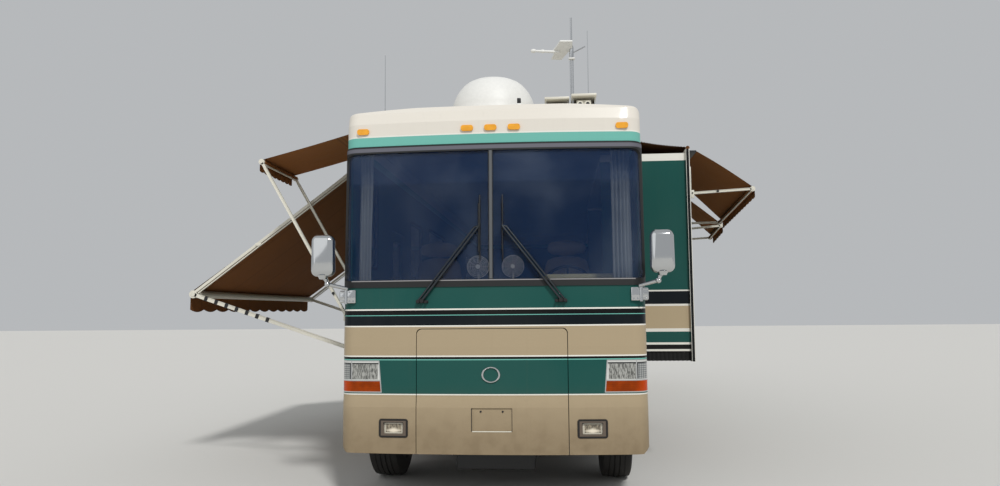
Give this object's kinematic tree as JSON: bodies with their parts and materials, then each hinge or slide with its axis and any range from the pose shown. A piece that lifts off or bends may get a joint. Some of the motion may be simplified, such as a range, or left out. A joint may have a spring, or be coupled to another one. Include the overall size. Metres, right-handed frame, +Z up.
{
  "type": "motorhome",
  "caption": "Rear-engined class A motorhome with a slide-out living room, side awnings out, entry door, baggage bays, steered front wheels and a folding roof antenna.",
  "frame": {"origin": "on the ground under the middle of the whole outline, with the slide-out and all awnings out", "axes": "+X towards the driver's side, +Y towards the rear, so the front faces -Y, and +Z up"},
  "size_m": [5.774, 11.344, 4.4869],
  "materials": {
    "gelcoat_tan": "metallic, clear coated",
    "gelcoat_cream": "gloss",
    "gelcoat_green": "metallic, clear coated",
    "white_metal": "satin",
    "white_plastic": "gloss",
    "chassis_black": "satin",
    "axle_iron": "rough",
    "tyre": "matt",
    "wheel": "polished",
    "chrome": "polished",
    "black_rubber": "matt",
    "tinted_glass": "smooth",
    "clear_glass": "smooth",
    "lamp_clear": "fluted",
    "lamp_amber": "gloss",
    "lamp_red": "gloss",
    "awning_fabric": "woven",
    "curtain": "woven",
    "seat_leather": "soft",
    "dash_plastic": "grained",
    "floor_board": "matt"
  },
  "bodies": {
    "coach": {"front_cap": "gelcoat_tan", "windshield": "clear_glass", "windshield_frame": "black_rubber", "headlamps": "lamp_clear", "lamp_frames": "chrome", "marker_lamps": "lamp_amber", "wall_driver_side": "gelcoat_tan", "wall_kerb_side": "gelcoat_tan", "roof": "gelcoat_cream", "rear_cap": "gelcoat_tan", "tail_lamps": "lamp_red", "ladder": "wheel", "floor": "floor_board", "chassis": "chassis_black", "engine": "axle_iron", "side_window_frames": "black_rubber", "side_glass": "tinted_glass", "front_axle": "axle_iron", "rear_axle": "axle_iron", "patio_awning_frame": "white_metal", "patio_awning_fabric": "awning_fabric", "window_awning_frame": "white_metal", "window_awning_fabric": "awning_fabric", "mirrors": "chrome", "wipers": "chassis_black", "dashboard": "dash_plastic", "seats": "seat_leather", "curtains": "curtain", "satellite_dome": "white_plastic", "roof_horns": "chrome", "roof_units": "white_plastic", "topper_fabric": "awning_fabric"},
    "slide_out_room": {"slide_room": "gelcoat_tan", "slide_window_frames": "white_metal", "slide_glass": "tinted_glass", "slide_awning_frames": "white_metal", "slide_awning_fabric": "awning_fabric"},
    "entry_door_leaf": {"entry_door": "gelcoat_tan", "entry_door_glass": "tinted_glass"},
    "mast": {"antenna_mast": "white_plastic"},
    "front_wheel_left": {"front_tyre_left": "tyre", "front_rim_left": "wheel"},
    "rear_wheels_left": {"rear_tyres_left": "tyre", "rear_rims_left": "wheel"},
    "steering_knuckle_left": {"knuckle_left": "axle_iron"},
    "body_bay_door_left_1": {"bay_door_left_1": "gelcoat_green"},
    "body_bay_door_left_2": {"bay_door_left_2": "gelcoat_green"},
    "body_bay_door_left_3": {"bay_door_left_3": "gelcoat_green"},
    "front_wheel_right": {"front_tyre_right": "tyre", "front_rim_right": "wheel"},
    "rear_wheels_right": {"rear_tyres_right": "tyre", "rear_rims_right": "wheel"},
    "steering_knuckle_right": {"knuckle_right": "axle_iron"},
    "body_bay_door_right_1": {"bay_door_right_1": "gelcoat_green"},
    "body_bay_door_right_2": {"bay_door_right_2": "gelcoat_green"},
    "body_bay_door_right_3": {"bay_door_right_3": "gelcoat_green"},
    "access_panel": {"front_access_panel": "gelcoat_tan"},
    "rear_hatch": {"engine_hatch": "gelcoat_tan"}
  },
  "joints": [
    {"name": "steer_left", "type": "hinge", "parent": "coach", "child": "steering_knuckle_left", "pos_m": [1.112, -4.452, 0.51], "axis": [0, 0, 1], "range_deg": [-36, 36]},
    {"name": "front_wheel_spin_left", "type": "hinge", "parent": "steering_knuckle_left", "child": "front_wheel_left", "pos_m": [1.362, -4.452, 0.51], "axis": [1, 0, 0], "continuous": true},
    {"name": "rear_wheel_spin_left", "type": "hinge", "parent": "coach", "child": "rear_wheels_left", "pos_m": [1.237, 1.748, 0.51], "axis": [1, 0, 0], "continuous": true},
    {"name": "bay_door_hinge_left_1", "type": "hinge", "parent": "coach", "child": "body_bay_door_left_1", "pos_m": [1.587, -2.304, 0.997], "axis": [0, -1, 0], "range_deg": [0, 85]},
    {"name": "bay_door_hinge_left_2", "type": "hinge", "parent": "coach", "child": "body_bay_door_left_2", "pos_m": [1.587, -0.984, 0.997], "axis": [0, -1, 0], "range_deg": [0, 85]},
    {"name": "bay_door_hinge_left_3", "type": "hinge", "parent": "coach", "child": "body_bay_door_left_3", "pos_m": [1.587, 0.336, 0.997], "axis": [0, -1, 0], "range_deg": [0, 85]},
    {"name": "steer_right", "type": "hinge", "parent": "coach", "child": "steering_knuckle_right", "pos_m": [-0.488, -4.452, 0.51], "axis": [0, 0, 1], "range_deg": [-36, 36]},
    {"name": "front_wheel_spin_right", "type": "hinge", "parent": "steering_knuckle_right", "child": "front_wheel_right", "pos_m": [-0.738, -4.452, 0.51], "axis": [1, 0, 0], "continuous": true},
    {"name": "rear_wheel_spin_right", "type": "hinge", "parent": "coach", "child": "rear_wheels_right", "pos_m": [-0.613, 1.748, 0.51], "axis": [1, 0, 0], "continuous": true},
    {"name": "bay_door_hinge_right_1", "type": "hinge", "parent": "coach", "child": "body_bay_door_right_1", "pos_m": [-0.963, -2.304, 0.997], "axis": [0, 1, 0], "range_deg": [0, 85]},
    {"name": "bay_door_hinge_right_2", "type": "hinge", "parent": "coach", "child": "body_bay_door_right_2", "pos_m": [-0.963, -0.984, 0.997], "axis": [0, 1, 0], "range_deg": [0, 85]},
    {"name": "bay_door_hinge_right_3", "type": "hinge", "parent": "coach", "child": "body_bay_door_right_3", "pos_m": [-0.963, 0.336, 0.997], "axis": [0, 1, 0], "range_deg": [0, 85]},
    {"name": "slide_out_travel", "type": "slide", "parent": "coach", "child": "slide_out_room", "axis": [1, 0, 0], "range_m": [-0.575, 0], "deforming": ["topper_fabric"]},
    {"name": "entry_door_hinge", "type": "hinge", "parent": "coach", "child": "entry_door_leaf", "pos_m": [-0.963, -3.779, 0.47], "axis": [0, 0, 1], "range_deg": [0, 95]},
    {"name": "access_panel_hinge", "type": "hinge", "parent": "coach", "child": "access_panel", "pos_m": [0.312, -5.544, 1.398], "axis": [-1, 0, 0], "range_deg": [0, 80]},
    {"name": "engine_hatch_hinge", "type": "hinge", "parent": "coach", "child": "rear_hatch", "pos_m": [0.312, 5.551, 1.177], "axis": [1, 0, 0], "range_deg": [0, 80]},
    {"name": "antenna_mast_fold", "type": "hinge", "parent": "coach", "child": "mast", "pos_m": [1.032, -4.302, 3.407], "axis": [-1, 0, 0], "range_deg": [0, 80]}
  ],
  "couplings": [
    {"joint": "steer_right", "follows": "steer_left", "ratio": 1}
  ]
}
